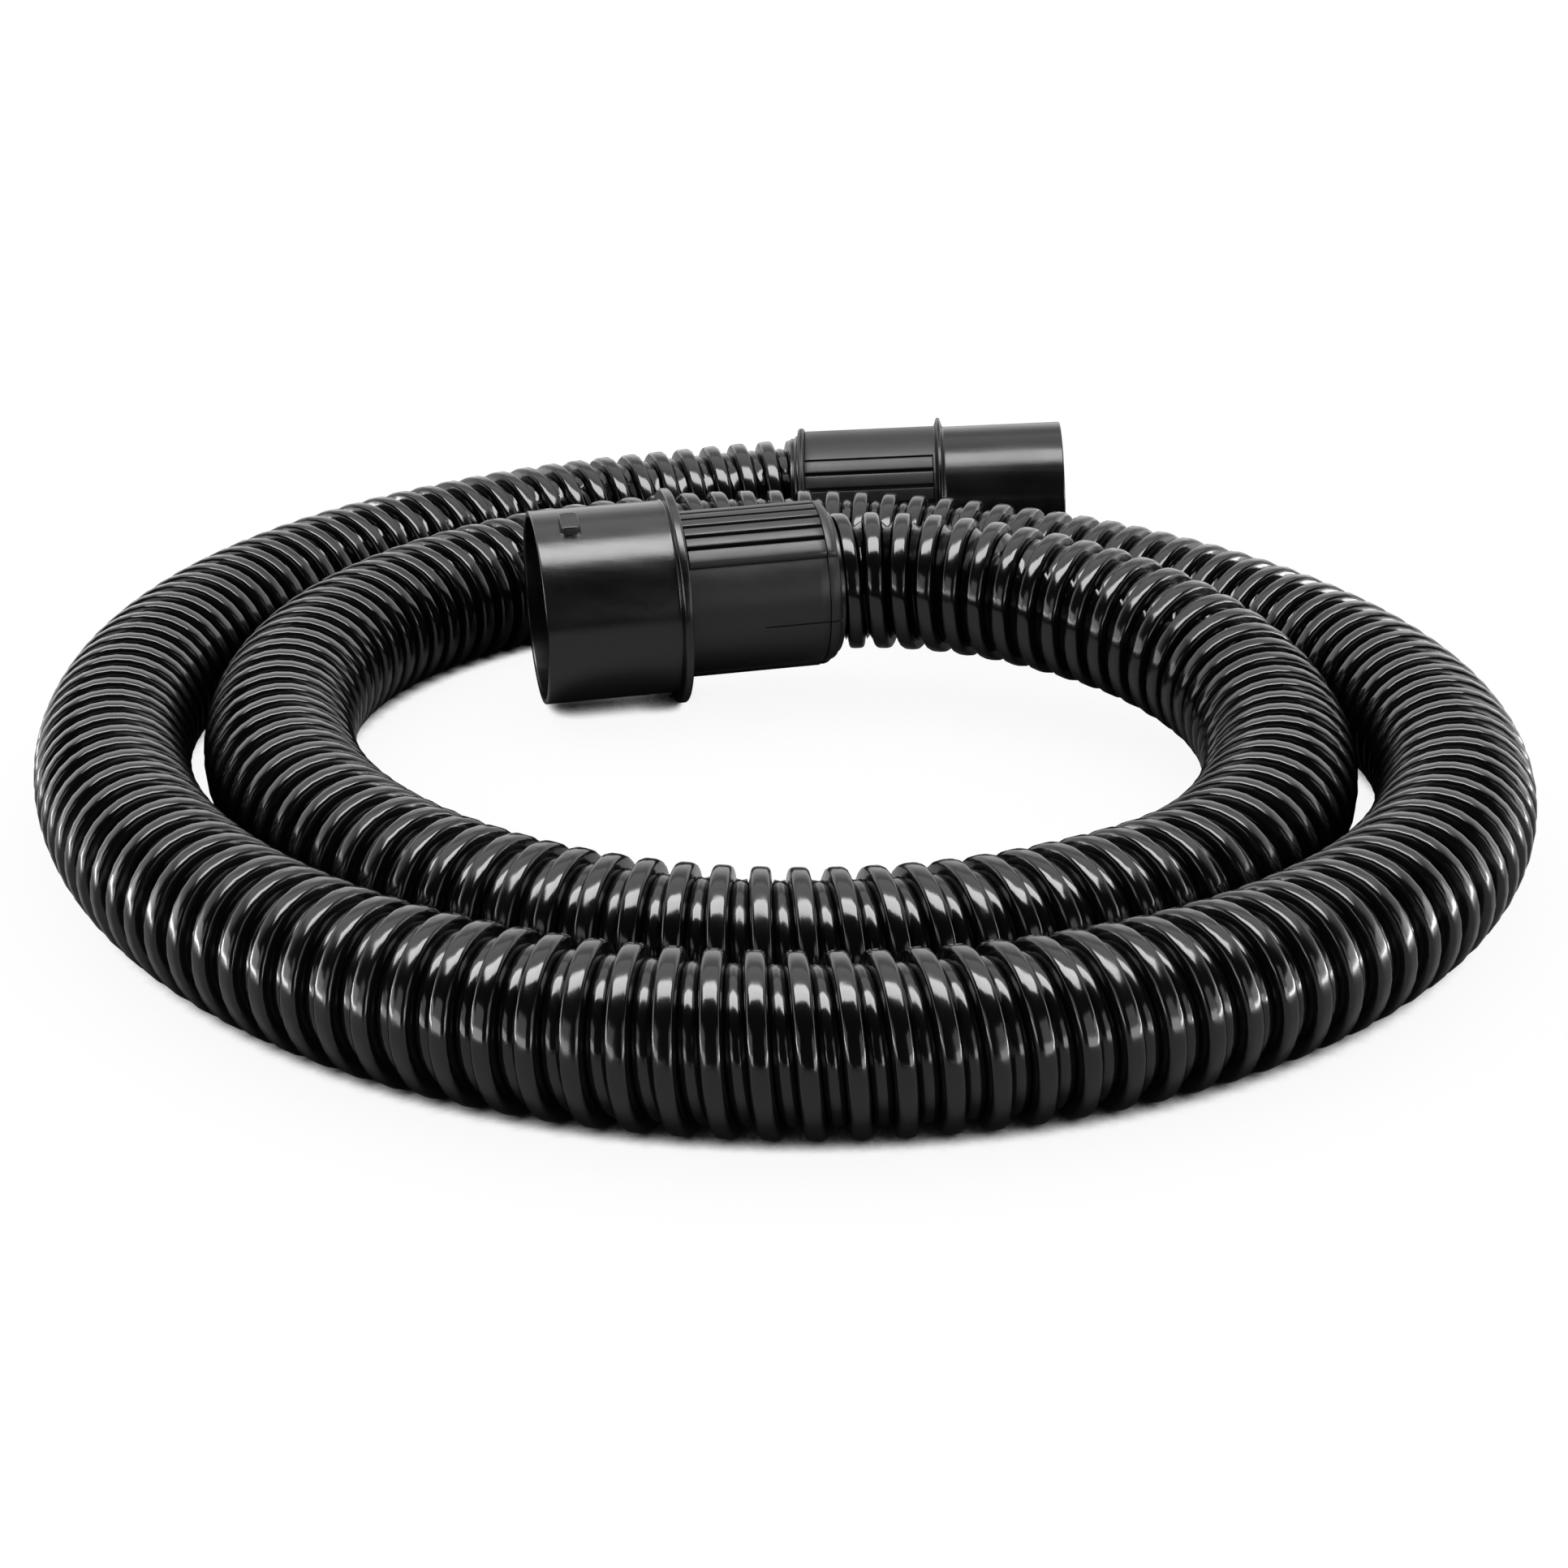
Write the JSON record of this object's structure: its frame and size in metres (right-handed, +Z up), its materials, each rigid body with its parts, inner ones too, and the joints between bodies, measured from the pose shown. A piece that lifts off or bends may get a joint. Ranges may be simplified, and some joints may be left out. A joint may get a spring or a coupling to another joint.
{
  "type": "vacuum hose",
  "caption": "Ribbed vacuum hose lying in a loose coil, with a large swivel cuff for the tank inlet and a small swivel cuff for the wand",
  "frame": {"origin": "on the floor, under the middle of the part's box as it lies coiled", "axes": "+Z up; +X to the right and +Y to the back as the picture shows the coil; both cuffs lie at the back, near the X direction"},
  "size_m": [0.4006, 0.4431, 0.065],
  "materials": {
    "hose": "glossy moulded black",
    "cuff": "satin moulded black",
    "sleeve": "satin moulded black",
    "seal": "matt black rubber"
  },
  "bodies": {
    "hose": {"hose_tube": "hose", "tank_sleeve": "sleeve", "wand_sleeve": "sleeve"},
    "tank_end": {"tank_cuff": "cuff", "tank_end_ring": "cuff", "tank_seal": "seal"},
    "wand_end": {"wand_cuff": "cuff", "wand_end_ring": "cuff", "wand_seal": "seal"}
  },
  "joints": [
    {"name": "tank_swivel", "type": "hinge", "parent": "hose", "child": "tank_end", "pos_m": [-0.00683, 0.07245, 0.03281], "axis": [-0.98, -0.1967, -0.0285], "continuous": true},
    {"name": "wand_swivel", "type": "hinge", "parent": "hose", "child": "wand_end", "pos_m": [0.0322, 0.19634, 0.02455], "axis": [0.9984, -0.0242, 0.0518], "continuous": true}
  ]
}
